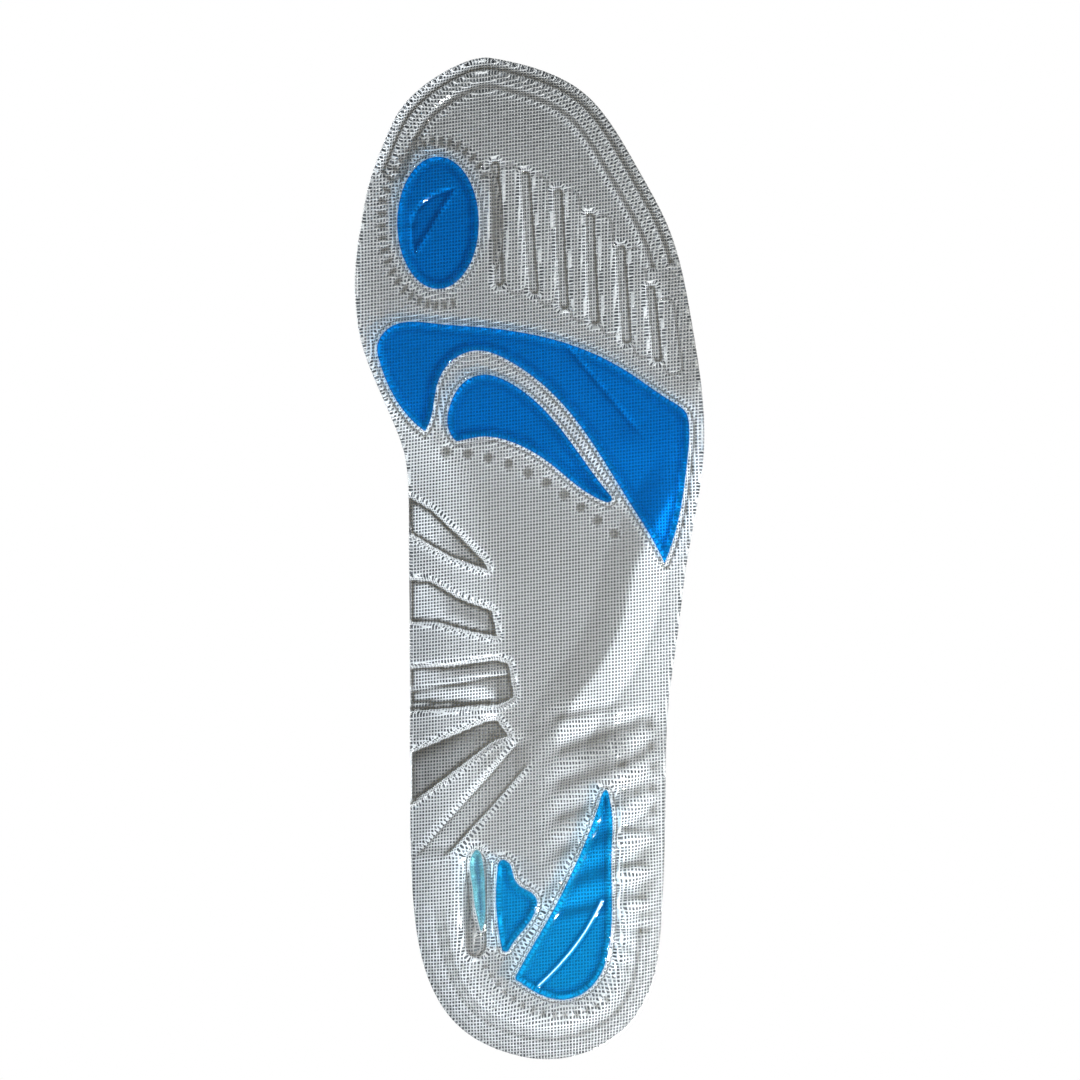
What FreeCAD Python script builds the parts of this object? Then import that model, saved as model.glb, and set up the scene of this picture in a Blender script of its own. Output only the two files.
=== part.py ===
"""A moulded gel insole for a left shoe, as separate solids: gel body, six gel pads, woven mesh and top cover.

Millimetres. The foot's side is +Z, the toe +Y and the inner (big toe) side +X. The underside rests on z = 0,
and the origin is the middle of the insole's footprint. Everything soft is drawn as it lies unloaded.
"""
import FreeCAD, Part
import math
import os

os.makedirs("parts", exist_ok=True)

MESH_THICKNESS = 0.4
COVER_THICKNESS = 0.8
SHOE_SIDE_DIP = 0.3          # the underside's surface runs this far under z = 0, which planes it flat
CUTTER = 70.0                # height of the tools that trim a solid, more than the insole is high

FOREFOOT_PAD = 2.1           # thickness of the blue pads under the toe and the ball of the foot
HEEL_PAD = 3.6
MEDIAL_PAD = 1.2
MEDIAL_GROOVE = 1.5          # depth of the groove that the thin medial heel pad lies in
MEDIAL_GROOVE_ENDS = ((16.2, -87.2), (16.2, -111.0))
MEDIAL_GROOVE_WIDTH = 7.6

# Guide grooves for cutting the toe to size: how far in from the edge each starts and ends, and its floor's
# height.
TRIM_BANDS = [(1.4, 3.7, 1.2), (6.9, 9.1, 0.8)]
TRIM_INNER_END = (45.6, 112.5)
TRIM_OUTER_END = (-42.5, 86.0)
TRIM_STEPS = 24
RIB_GROOVE = 1.3
RIB_GROOVE_WIDTH = 3.6
RIB_WIDTH = 4.4
RIB_RING = 0.45              # depth of the line round each rib
RIB_RING_WIDTH = 0.8
FLUTE = 2.5                  # depth of the arch flutes

# Notches round the toe pad: they start under the pad and go up its inner side to its outer top.
NOTCH = 0.7
NOTCH_WIDTH = 1.5
NOTCH_COUNT = 30
NOTCH_FIRST_ANGLE = -105.0
NOTCH_ANGLE_STEP = 8.6
NOTCH_GAPS = (3.9, 5.3)      # how far outside the pad each notch starts and ends
NOTCH_EDGE_MARGIN = 1.5

# Closed outline of the insole, from the toe's tip down the outer side, round the heel and up the inner side.
OUTLINE = [
    (11.5, 145.0), (-2.0, 141.8), (-15.3, 134.9), (-23.3, 125.7), (-31.4, 112.1), (-39.5, 96.6),
    (-46.4, 68.9), (-49.6, 46.4), (-49.9, 30.6), (-45.0, -1.4), (-42.7, -19.9), (-39.9, -41.5),
    (-39.0, -70.3), (-38.5, -92.2), (-37.2, -112.4), (-33.9, -127.3), (-27.4, -136.6), (-17.0, -142.6),
    (-4.9, -145.0), (8.4, -142.6), (17.3, -138.3), (23.6, -132.6), (29.1, -123.4), (32.2, -113.4),
    (33.9, -102.3), (34.9, -83.6), (35.2, -40.4), (35.4, 0.0), (35.5, 17.3), (36.8, 31.5), (40.0, 40.4),
    (44.7, 51.3), (48.7, 62.0), (50.7, 75.0), (50.7, 85.0), (49.0, 97.4), (46.1, 111.0), (43.0, 119.3),
    (38.2, 129.5), (30.6, 137.3), (21.9, 142.6),
]

# How the section changes along the insole: y, gel thickness in the middle, then for the inner and the outer
# side how high the underside lifts at the edge, how wide that slope is, and the edge's thickness.
STATIONS = [
    (-150.0, 6.8, 12.5, 18.0, 3.0, 12.0, 16.0, 3.0),
    (-100.0, 6.8, 12.5, 20.0, 3.0, 11.5, 13.5, 3.0),
    (-65.0, 5.8, 13.0, 26.0, 3.8, 8.5, 17.0, 3.0),
    (-20.0, 4.8, 14.0, 33.0, 4.4, 5.5, 24.0, 3.0),
    (15.0, 4.2, 9.0, 25.0, 4.2, 3.0, 17.0, 2.8),
    (48.0, 3.3, 1.4, 10.0, 2.6, 1.2, 9.0, 2.6),
    (150.0, 3.0, 1.2, 8.0, 2.4, 1.2, 8.0, 2.4),
]
FOOT_SIDE_SLOPE = 0.9        # the foot's side slopes over this share of the underside's slope
SIDE_BLEND = (-14.0, 10.0)   # x between which the outer side's section turns into the inner side's
SLOPE_STRAIGHT = 1.2         # beyond this share of a slope's height curve it runs on straight
GRID_STEP = 4.0              # spacing of the places that the smooth surfaces pass through
GRID_START = (-60.0, -154.0)
GRID_COUNT = (31, 78)

# Pads and pockets: each is a list of smooth runs of points, and the corners are where the runs meet.
TOE_PAD_CENTRE = (26.8, 97.4)
TOE_PAD_RADII = (11.8, 19.1)
FOREFOOT_OUTER_PAD = [
    [(44.1, 58.8), (43.9, 63.6), (40.8, 67.2), (27.1, 68.3), (13.3, 67.2), (-0.9, 65.1), (-14.7, 61.1),
     (-28.8, 53.9), (-40.8, 45.8), (-44.8, 42.6), (-45.7, 38.6), (-45.1, 28.0), (-42.7, 12.1), (-38.6, -0.9)],
    [(-38.6, -0.9), (-35.2, 5.8), (-28.8, 16.1), (-14.7, 38.1), (-4.3, 49.9), (6.1, 57.4), (15.9, 60.5),
     (23.6, 56.8), (27.1, 50.4), (28.3, 43.5), (30.6, 37.2)],
    [(30.6, 37.2), (37.5, 44.1), (41.8, 51.9), (44.1, 58.8)],
]
FOREFOOT_INNER_PAD = [
    [(21.6, 34.3), (24.0, 38.6), (23.3, 45.0), (18.7, 51.9), (13.3, 53.6), (6.1, 51.3), (-4.3, 43.0),
     (-14.7, 29.7), (-23.1, 18.6)],
    [(-23.1, 18.6), (-23.3, 17.2), (-21.9, 16.7)],
    [(-21.9, 16.7), (-14.7, 20.5), (-4.3, 28.8), (6.1, 34.3), (13.3, 35.7), (17.3, 35.2), (21.6, 34.3)],
]
HEEL_FIN_PAD = [
    [(9.6, -88.2), (8.1, -86.4), (6.3, -87.4), (5.2, -90.5), (3.2, -94.0), (-0.3, -96.0), (-1.7, -98.0),
     (-1.4, -100.9), (1.2, -105.5), (6.1, -112.1)],
    [(6.1, -112.1), (7.3, -113.0), (8.4, -112.4)],
    [(8.4, -112.4), (9.5, -105.8), (10.1, -98.6), (9.9, -91.5), (9.6, -88.2)],
]
HEEL_LATERAL_PAD = [
    [(-20.3, -68.0), (-21.7, -66.2), (-22.9, -69.4), (-23.3, -84.0), (-23.4, -98.6), (-22.8, -110.4),
     (-19.9, -119.9), (-14.1, -125.5), (-8.4, -126.8), (-2.3, -125.1), (3.4, -121.6)],
    [(3.4, -121.6), (4.5, -120.9), (4.3, -119.8)],
    [(4.3, -119.8), (0.0, -112.1), (-6.3, -101.2), (-12.4, -88.8), (-17.6, -76.4), (-20.3, -68.0)],
]
HEEL_MEDIAL_PAD = [
    [(14.4, -107.2), (16.0, -100.9), (17.2, -92.2), (17.2, -85.6), (15.8, -83.6), (14.2, -85.6)],
    [(14.2, -85.6), (13.4, -91.5), (13.2, -98.0), (13.4, -104.2), (14.4, -107.2)],
]

# Grooves and ribs of the toe field: top and bottom ends, from the inner side to the outer side.
RIB_GROOVES = [
    ((10.4, 114.0), (9.2, 80.5)), ((1.6, 111.2), (-0.9, 78.2)), ((-7.8, 106.2), (-9.6, 73.8)),
    ((-17.0, 99.2), (-18.4, 69.3)), ((-26.0, 89.8), (-27.6, 63.8)), ((-34.6, 78.2), (-36.6, 58.6)),
]
RIBS = [
    ((6.2, 111.6), (4.3, 79.6)), ((-1.9, 108.8), (-4.3, 76.6)), ((-11.2, 104.2), (-13.9, 71.9)),
    ((-20.6, 97.2), (-23.0, 67.5)), ((-30.0, 87.8), (-32.3, 61.3)), ((-38.6, 73.2), (-41.0, 56.2)),
]

# Flutes of the arch, straight sided pockets that open on the inner edge.
FLUTES = [
    [(48.0, 26.0), (28.6, 15.0), (19.3, 6.3), (12.6, -0.6), (11.8, -3.5), (23.3, 0.6), (36.0, 8.0),
     (48.0, 14.0)],
    [(48.0, -4.5), (29.1, -5.5), (20.5, -10.7), (10.8, -14.1), (9.2, -22.6), (17.9, -20.9), (27.0, -18.4),
     (48.0, -18.0)],
    [(48.0, -31.6), (23.9, -30.3), (9.5, -28.2), (6.0, -29.4), (4.3, -39.8), (8.9, -42.3), (48.0, -45.0)],
    [(48.0, -62.0), (36.0, -56.0), (13.5, -46.1), (9.5, -45.4), (5.6, -51.0), (10.7, -52.8), (20.0, -60.0),
     (34.9, -71.5), (48.0, -81.0)],
]
FLUTE_CORNER = 1.2

# Rows of small dimples: radius, depth, spacing and the curve that they follow.
DIMPLE_ROWS = [
    (1.5, 0.8, 6.1, [(24.5, 31.4), (12.1, 29.7), (-0.3, 24.8), (-11.5, 17.6), (-23.9, 7.8)]),
    (1.9, 0.9, 5.8, [(-25.9, -53.5), (-26.8, -75.0), (-27.0, -98.0), (-26.0, -118.0)]),
    (1.9, 0.9, 6.1, [(-34.6, -47.6), (-35.2, -62.0), (-34.9, -78.0)]),
    (0.8, 0.6, 3.1, [(14.9, -93.0), (15.4, -112.0), (9.6, -122.6), (1.0, -129.0), (-9.0, -131.2),
                     (-18.5, -128.5), (-25.0, -121.5)]),
]
HEEL_FINGERS = [-73.5, -83.3, -93.0, -102.4, -111.6]     # y of the blocks round the outer heel wall
FINGER_GROOVE = 1.0
FINGER_GROOVE_STEPS = (-28.6, -30.6, -32.6)              # x of the level steps that each groove climbs in
FINGER_GROOVE_WIDTH = 1.8
FINGER_STEP_REACH = 1.1


def point(xy, z=0.0):
    return FreeCAD.Vector(xy[0], xy[1], z)


def smooth_curve(points, closed=False):
    curve = Part.BSplineCurve()
    curve.interpolate(Points=[point(xy) for xy in points], PeriodicFlag=closed)
    return curve


def curve_points(curve, spacing):
    count = max(2, int(round(curve.length() / spacing)) + 1)
    return curve.discretize(count)


outline_curve = smooth_curve(OUTLINE, closed=True)
outline_wire = Part.Wire([outline_curve.toShape()])


def edge_distance(x, y):
    """Distance in from the outline, negative outside it. The outline runs anticlockwise."""
    place = point((x, y))
    nearest = outline_curve.parameter(place)
    gap = place - outline_curve.value(nearest)
    tangent = outline_curve.tangent(nearest)[0]
    return math.copysign(gap.Length, tangent.cross(gap).z)


def ease(t):
    t = min(1.0, max(0.0, t))
    return t * t * (3.0 - 2.0 * t)


def section(x, y):
    """Gel thickness, edge lift, slope width and edge thickness at one place."""
    for low, high in zip(STATIONS, STATIONS[1:]):
        if y <= high[0]:
            break
    t = ease((y - low[0]) / (high[0] - low[0]))
    row = [a + t * (b - a) for a, b in zip(low[1:], high[1:])]
    inner = ease((x - SIDE_BLEND[0]) / (SIDE_BLEND[1] - SIDE_BLEND[0]))
    lift, width, lip = (outer + inner * (medial - outer) for medial, outer in zip(row[1:4], row[4:7]))
    return row[0], lift, width, lip


def slope(distance, width):
    """A curve from 0 at the slope's foot to 1 at the edge, which runs on straight beyond the edge."""
    t = max(0.0, 1.0 - distance / width)
    bent = min(t, SLOPE_STRAIGHT)
    return bent * bent + 2 * SLOPE_STRAIGHT * (t - bent)


def shoe_side_height(x, y):
    _, lift, width, _ = section(x, y)
    return lift * slope(edge_distance(x, y), width) - SHOE_SIDE_DIP


def foot_side_height(x, y):
    gel, lift, width, lip = section(x, y)
    return gel + (lift + lip - gel) * slope(edge_distance(x, y), width * FOOT_SIDE_SLOPE)


def height_surface(height):
    """A smooth surface over the whole footprint, through heights on a grid of places."""
    xs, ys = ([start + GRID_STEP * i for i in range(count)] for start, count in zip(GRID_START, GRID_COUNT))
    surface = Part.BSplineSurface()
    surface.interpolate([[FreeCAD.Vector(x, y, height(x, y)) for y in ys] for x in xs])
    return surface.toShape()


def side_of(face, offset, direction):
    """Everything under (-1) or over (+1) a surface that is moved up by offset."""
    moved = face.copy()
    moved.translate(FreeCAD.Vector(0, 0, offset))
    return moved.extrude(FreeCAD.Vector(0, 0, direction * CUTTER))


def column(wire, low=0.0, high=CUTTER):
    base = Part.Face(wire)
    base.translate(FreeCAD.Vector(0, 0, low))
    return base.extrude(FreeCAD.Vector(0, 0, high - low))


def loop(runs):
    return Part.Wire([smooth_curve(run).toShape() for run in runs])


def ellipse(centre, radii):
    """An upright ellipse: radii across and along the insole."""
    top = point((centre[0], centre[1] + radii[1]))
    flank = point((centre[0] - radii[0], centre[1]))
    return Part.Wire([Part.Ellipse(top, flank, point(centre)).toShape()])


def capsule(start, end, width):
    """A slot shape: two straight sides and two half-round ends."""
    a, b = point(start), point(end)
    along = (b - a).normalize()
    side = FreeCAD.Vector(-along.y, along.x, 0) * (width / 2)
    tip = along * (width / 2)
    return Part.Wire([
        Part.LineSegment(a + side, b + side).toShape(),
        Part.Arc(b + side, b + tip, b - side).toShape(),
        Part.LineSegment(b - side, a - side).toShape(),
        Part.Arc(a - side, a - tip, a + side).toShape(),
    ])


def rounded_polygon(corners, radius):
    """Straight sides, with an arc of the given reach at each corner."""
    edges, last_end, first_start = [], None, None
    for before, here, after in zip(corners[-1:] + corners[:-1], corners, corners[1:] + corners[:1]):
        p, q, r = point(before), point(here), point(after)
        reach = min(radius, (p - q).Length * 0.4, (r - q).Length * 0.4)
        start = q + (p - q).normalize() * reach
        end = q + (r - q).normalize() * reach
        middle = (start + end) * 0.25 + q * 0.5
        if last_end is None:
            first_start = start
        else:
            edges.append(Part.LineSegment(last_end, start).toShape())
        edges.append(Part.Arc(start, middle, end).toShape())
        last_end = end
    edges.append(Part.LineSegment(last_end, first_start).toShape())
    return Part.Wire(edges)


def offset_from_outline(t, distance):
    """A point at a fixed distance in from the outline, where t is the outline's own parameter."""
    tangent = outline_curve.tangent(t)[0]
    return outline_curve.value(t) + FreeCAD.Vector(-tangent.y, tangent.x, 0) * distance


def trim_band(near, far, start, end):
    """A band that runs along the toe's edge between two distances from it."""
    steps = [start + (end - start) * i / TRIM_STEPS for i in range(TRIM_STEPS + 1)]
    outer = [offset_from_outline(t, near) for t in steps]
    inner = [offset_from_outline(t, far) for t in reversed(steps)]
    outer_curve, inner_curve = Part.BSplineCurve(), Part.BSplineCurve()
    outer_curve.interpolate(outer)
    inner_curve.interpolate(inner)
    return Part.Wire([
        outer_curve.toShape(),
        Part.LineSegment(outer[-1], inner[0]).toShape(),
        inner_curve.toShape(),
        Part.LineSegment(inner[-1], outer[0]).toShape(),
    ])


def parameter_at(xy):
    return outline_curve.parameter(point(xy))


shoe_side = height_surface(shoe_side_height)
foot_side = height_surface(foot_side_height)
under_shoe_side = side_of(shoe_side, 0.0, -1)


def even_recess(wire, depth):
    """A tool that cuts a pocket of even depth into the underside, however that slopes."""
    return column(wire, -1.0).cut(side_of(shoe_side, depth + SHOE_SIDE_DIP, +1))


def recess(wire, depth, place=None):
    """A tool that cuts a level pocket into the underside, to a depth measured at one place."""
    level = max(0.0, shoe_side_height(*place)) if place else 0.0
    return column(wire, -1.0, level + depth)


def layer(low, high):
    """One even layer on the foot's side of the gel."""
    blank = column(outline_wire)
    return blank.cut(side_of(foot_side, low, -1)).cut(side_of(foot_side, high, +1))


def pad(wire, thickness, low=0.0):
    return column(wire, low, low + thickness).cut(under_shoe_side)


def trim_grooves():
    # The outline's parameter runs from the toe's tip down the outer side, so the inner side is its far end.
    last = outline_curve.LastParameter
    outer_end = parameter_at(TRIM_OUTER_END)
    inner_end = parameter_at(TRIM_INNER_END) - last
    return [recess(trim_band(near, far, inner_end, outer_end), depth) for near, far, depth in TRIM_BANDS]


def rib_field():
    grooves = [recess(capsule(a, b, RIB_GROOVE_WIDTH), RIB_GROOVE) for a, b in RIB_GROOVES]
    rings = []
    for a, b in RIBS:
        ring = recess(capsule(a, b, RIB_WIDTH + 2 * RIB_RING_WIDTH), RIB_RING)
        rings.append(ring.cut(column(capsule(a, b, RIB_WIDTH), -2.0)))
    return grooves + rings


def toe_pad_notches():
    """Short notches that point at the toe pad, round its inner side and both ends."""
    notches = []
    for i in range(NOTCH_COUNT):
        angle = math.radians(NOTCH_FIRST_ANGLE + NOTCH_ANGLE_STEP * i)
        start, end = (
            (TOE_PAD_CENTRE[0] + (TOE_PAD_RADII[0] + gap) * math.cos(angle),
             TOE_PAD_CENTRE[1] + (TOE_PAD_RADII[1] + gap) * math.sin(angle))
            for gap in NOTCH_GAPS
        )
        if edge_distance(*end) > NOTCH_EDGE_MARGIN:
            notches.append(recess(capsule(start, end, NOTCH_WIDTH), NOTCH))
    return notches


def dimples():
    tools = []
    for radius, depth, spacing, path in DIMPLE_ROWS:
        for place in curve_points(smooth_curve(path), spacing):
            circle = Part.Wire([Part.Circle(place, FreeCAD.Vector(0, 0, 1), radius).toShape()])
            tools.append(recess(circle, depth, (place.x, place.y)))
    return tools


def finger_grooves():
    """Short grooves across the outer heel wall, which leave rounded blocks between them."""
    tools = []
    for low, high in zip(HEEL_FINGERS[1:], HEEL_FINGERS):
        y = (low + high) / 2
        for x in FINGER_GROOVE_STEPS:
            step = capsule((x + FINGER_STEP_REACH, y), (x - FINGER_STEP_REACH, y), FINGER_GROOVE_WIDTH)
            tools.append(recess(step, FINGER_GROOVE, (x, y)))
    return tools


def arch_flutes():
    return [even_recess(rounded_polygon(corners, FLUTE_CORNER), FLUTE) for corners in FLUTES]


def medial_groove():
    return recess(capsule(*MEDIAL_GROOVE_ENDS, MEDIAL_GROOVE_WIDTH), MEDIAL_GROOVE)


def gel_pads():
    return {
        "toe_pad": pad(ellipse(TOE_PAD_CENTRE, TOE_PAD_RADII), FOREFOOT_PAD),
        "forefoot_outer_pad": pad(loop(FOREFOOT_OUTER_PAD), FOREFOOT_PAD),
        "forefoot_inner_pad": pad(loop(FOREFOOT_INNER_PAD), FOREFOOT_PAD),
        "heel_lateral_pad": pad(loop(HEEL_LATERAL_PAD), HEEL_PAD),
        "heel_fin_pad": pad(loop(HEEL_FIN_PAD), HEEL_PAD),
        "heel_medial_pad": pad(loop(HEEL_MEDIAL_PAD), MEDIAL_PAD, MEDIAL_GROOVE),
    }


def gel_body(pads):
    body = column(outline_wire).cut(under_shoe_side).cut(side_of(foot_side, 0.0, +1))
    reliefs = trim_grooves() + rib_field() + toe_pad_notches() + dimples() + finger_grooves()
    reliefs += arch_flutes() + [medial_groove()]
    return body.cut(reliefs).cut(list(pads.values()))


def single_solid(shape, name):
    solids = shape.Solids
    if len(solids) != 1 or not solids[0].isValid():
        print("check", name, "solids", len(solids), [s.isValid() for s in solids], [s.Volume for s in solids])
    return max(solids, key=lambda s: s.Volume)


def main():
    pieces = gel_pads()
    pieces["gel_body"] = gel_body(pieces)
    pieces["mesh_backing"] = layer(0.0, MESH_THICKNESS)
    pieces["top_cover"] = layer(MESH_THICKNESS, MESH_THICKNESS + COVER_THICKNESS)
    pieces = {name: single_solid(shape, name) for name, shape in pieces.items()}

    box = pieces["top_cover"].optimalBoundingBox(False, False)
    to_origin = FreeCAD.Vector(-(box.XMin + box.XMax) / 2, -(box.YMin + box.YMax) / 2, 0)
    for name, solid in pieces.items():
        solid.translate(to_origin)
        solid.exportStep(f"parts/{name}.step")
        size = solid.optimalBoundingBox(False, False)
        print(f"{name:20s} {solid.Volume / 1000:7.2f} cm3  x {size.XMin:7.2f} {size.XMax:7.2f}"
              f"  y {size.YMin:8.2f} {size.YMax:7.2f}  z {size.ZMin:6.2f} {size.ZMax:6.2f}")


main()
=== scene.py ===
"""Looks of the gel insole: moulded clear gel over a woven mesh, blue gel pads and a cloth cover.

Metres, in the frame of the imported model: the foot's side is +Z, the toe +Y and the inner side +X.
The insole is seen from straight below, so the floor that it stands on shows only to a camera above it.
"""
import math

import bpy
import numpy as np
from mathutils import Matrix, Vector
from mathutils.bvhtree import BVHTree
from mathutils.geometry import delaunay_2d_cdt


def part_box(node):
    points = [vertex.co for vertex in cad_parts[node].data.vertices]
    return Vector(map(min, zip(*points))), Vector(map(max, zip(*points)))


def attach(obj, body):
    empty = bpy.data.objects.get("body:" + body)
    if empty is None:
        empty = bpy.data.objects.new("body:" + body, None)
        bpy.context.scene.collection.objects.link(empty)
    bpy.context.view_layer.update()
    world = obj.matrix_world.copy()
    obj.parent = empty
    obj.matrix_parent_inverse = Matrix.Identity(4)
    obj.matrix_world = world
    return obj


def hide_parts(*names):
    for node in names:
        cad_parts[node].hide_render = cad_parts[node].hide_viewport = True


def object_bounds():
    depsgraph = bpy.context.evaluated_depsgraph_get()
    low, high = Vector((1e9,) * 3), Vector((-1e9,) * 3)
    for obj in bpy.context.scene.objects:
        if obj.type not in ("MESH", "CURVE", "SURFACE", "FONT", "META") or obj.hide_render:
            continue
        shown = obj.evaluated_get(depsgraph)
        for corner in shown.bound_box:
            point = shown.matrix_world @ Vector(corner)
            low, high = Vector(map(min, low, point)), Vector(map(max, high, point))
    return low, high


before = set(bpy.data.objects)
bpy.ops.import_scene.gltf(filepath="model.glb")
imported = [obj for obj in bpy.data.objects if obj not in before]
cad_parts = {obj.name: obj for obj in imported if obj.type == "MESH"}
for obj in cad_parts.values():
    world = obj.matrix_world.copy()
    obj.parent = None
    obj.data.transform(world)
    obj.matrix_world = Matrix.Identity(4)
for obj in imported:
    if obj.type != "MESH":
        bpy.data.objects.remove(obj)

MM = 0.001
cad_low, cad_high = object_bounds()
insole_size = cad_high - cad_low
insole_middle = (cad_low + cad_high) / 2

PAD_NODES = [
    "toe_pad", "forefoot_outer_pad", "forefoot_inner_pad",
    "heel_lateral_pad", "heel_fin_pad", "heel_medial_pad",
]

# The shape of the section along the insole, as the CAD model has it: y, gel thickness in the middle, then for
# the inner and the outer side the underside's lift at the edge, that slope's width and the edge's thickness.
STATIONS = np.array([
    (-150.0, 6.8, 12.5, 18.0, 3.0, 12.0, 16.0, 3.0),
    (-100.0, 6.8, 12.5, 20.0, 3.0, 11.5, 13.5, 3.0),
    (-65.0, 5.8, 13.0, 26.0, 3.8, 8.5, 17.0, 3.0),
    (-20.0, 4.8, 14.0, 33.0, 4.4, 5.5, 24.0, 3.0),
    (15.0, 4.2, 9.0, 25.0, 4.2, 3.0, 17.0, 2.8),
    (48.0, 3.3, 1.4, 10.0, 2.6, 1.2, 9.0, 2.6),
    (150.0, 3.0, 1.2, 8.0, 2.4, 1.2, 8.0, 2.4),
]) * MM
SHOE_SIDE_DIP = 0.3 * MM       # the underside's surface runs this far under z = 0, which planes it flat
FOOT_SIDE_SLOPE = 0.9          # the foot's side slopes over this share of the underside's slope
SIDE_BLEND = (-14.0, 10.0)     # x between which the outer side's section turns into the inner side's
SLOPE_STRAIGHT = 1.2           # beyond this share of a slope's height curve it runs on straight

# Lengths written with MM are in metres. The plain numbers of points, windows and fades are in millimetres.
RELIEF_STEP = 0.25 * MM        # grid on which the moulded relief is read from the CAD model
RELIEF_SOFTNESS = 0.38 * MM    # how far the mould's corners are rounded
RELIEF_NOISE = 0.08 * MM       # CAD facets stand off the true surface by up to this much
PAD_STEP = 0.5 * MM            # grid of the distances to the pads
EDGE_ROUND = 0.9 * MM
PAD_ROUND = 0.5 * MM
COVER_ROUND = 0.35 * MM
FINE, MEDIUM, COARSE = 0.42 * MM, 0.9 * MM, 1.5 * MM      # spacings of the meshes' points
FINE_ABOVE = 0.06              # the relief's slope from which the fine spacing is used

# The woven mesh and the cover.
MESH_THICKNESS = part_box("top_cover")[0].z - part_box("mesh_backing")[0].z
COVER_THICKNESS = 0.8 * MM
WARP_PITCH, WEFT_PITCH = 0.865 * MM, 0.96 * MM
WEFT_TILT = -0.118             # the weft runs a little askew across the insole
WARP_THREAD = (0.35 * MM, 0.45 * MM)      # width and height
WEFT_THREAD = (0.38 * MM, 0.47 * MM)
CRIMP = 0.05 * MM
CLOTH_ROWS = 0.314 / (1.3 * MM)           # the texture scale that sets the cover's woven rows 1.3 mm apart

# Painted light and shade, in the threads' and the pads' colour, for how the gel would spread light.
FLAT_LIGHT = 0.5               # share of the light that a flat stretch of gel lets through
LENS_BEND = 0.55               # bend of the underside, per millimetre, that gathers all of that light
LENS_RISE = 0.65               # slope of the underside, along the light, that turns all of it away
FLANK_RISE = 0.17              # the same for the flank, which is long and faces the light
BOWL_SLOPE, BOWL_GAIN = 0.4, 0.6      # steepest slope that counts, and how much more light it brings
PAD_LENS = 1.3                 # how much more strongly the pads gather light
LIGHT_ACROSS = (0.8, 0.6)      # the way that most light crosses the underside: from the outer heel to the toe
SHADE_FROM = (-0.5, 0.87)      # a recess is shaded from its wall on this side
SHADE_REACH = 10.0             # the longest shade of a wall, in millimetres
SHADE_FALL = 0.25              # how fast the shade of a wall gives out
SHADE_DEPTH = 1.6 * MM         # the depth from which a wall's shade is full
SHADE_SHARE = 0.65             # the most light that a shade takes away
DOT_SHARE = 0.5                # the most light that a dimple or a notch takes away
PAD_SHARE = 0.25               # the most light that a hollow in a pad takes away
THIN_GAIN = 0.5                # how much more light the thin gel of a full deep flute lets through
REAR_SHADE = 0.45              # the light that the rear flutes of the arch lose, where they are deep
TOE_RIM_SHADE = 0.35           # the most light that the toe's outer rim loses
TOE_SOFTNESS = 0.5             # how much weaker the relief's light and shade is under the toes

# Relief that the CAD model leaves out or has coarser.
DOT_DEPTH = 0.25               # the dots' depth, as a share of the CAD model's
BLOCK_DEPTH = 0.5              # the same for the beads and blocks of the outer heel wall
NOTCH_GAIN = 1.2               # the notches round the toe pad are deeper by this many times the CAD depth
NOTCH_RING = (2.4, 6.6, 1.0)   # where they lie: nearest and farthest from the pad, and the fade at both ends
FLANK_FOOT = [
    (-47.0, 30.0), (-36.0, 10.0), (-29.8, -3.2), (-27.5, -15.0), (-23.2, -25.9), (-20.0, -31.4),
    (-13.4, -39.8), (-8.5, -48.0), (-6.5, -60.0), (-6.0, -75.0), (-8.0, -90.0),
]
FLANK_FALL, KEEL_FALL = 0.12, 0.035    # how steeply the underside rises outside and inside the flank's foot
FLANK_REACH = 9.0 * MM         # how far from its foot the flank goes on rising
BALL_DOTS = [(24.5, 31.4), (12.1, 29.7), (-0.3, 24.8), (-11.5, 17.6), (-23.9, 7.8)]
HEEL_DOTS = [
    (15.2, -93.0), (15.4, -112.0), (9.6, -122.6), (1.0, -129.0), (-9.0, -131.2), (-18.5, -128.5),
    (-25.0, -121.5),
]
WAVE_PITCH, WAVE_DEPTH, WAVE_SKEW = 9.7 * MM, 0.9 * MM, 0.35
WAVE_CREST = (-11.0 * MM, -68.0 * MM)
THIRD_FLUTE_STEP = ((34.4, -38.0), (8.5, -33.2), 0.9 * MM)      # line along the step, and its depth
LAST_FLUTE_STEP = ((27.8, -81.0), (4.7, -54.5), 0.7 * MM)
PAD_GROOVE, PAD_GROOVE_OUT = 0.3 * MM, 1.1 * MM                 # depth, and distance outside the pad
HEEL_ARC, HEEL_ARC_IN = 0.5 * MM, 8.0 * MM                      # depth, and distance in from the edge
RIPPLE, RIPPLE_PITCH, SPOKES = 0.03 * MM, 2.4 * MM, 46
SPOKE_CENTRE = (-4.0 * MM, -96.0 * MM)
DISH_DEPTH, DISH_BORDER = 0.45 * MM, 2.2 * MM     # the pads' undersides are hollow inside a sloping border
LEAF_START, LEAF_END = (33.4, 88.4), (21.6, 107.6)              # of the leaf-shaped dip in the toe pad
LEAF_WIDTH, LEAF_DEPTH = 6.3 * MM, 0.6 * MM
OUTER_PAD_FOLD = [(-12.5, 59.7), (-20.6, 51.3), (-27.0, 40.1)]  # start, control point and end of a curve
HEEL_PAD_SEAM = [(-2.5, -122.8), (-15.0, -111.5), (-20.8, -98.4)]
# half width, in millimetres, of the painted white highlight on the heel pad's raised line
SEAM_HIGHLIGHT_HALF_WIDTH = 0.16

GEL_IOR = 1.44

# The picture from below: how much taller than the insole it is, and where it aims, as shares of the insole.
PICTURE_HEIGHT = 1.0736
AIM = (-0.030, 0.020)


# ---------------------------------------------------------------- outlines taken from the CAD nodes

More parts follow.
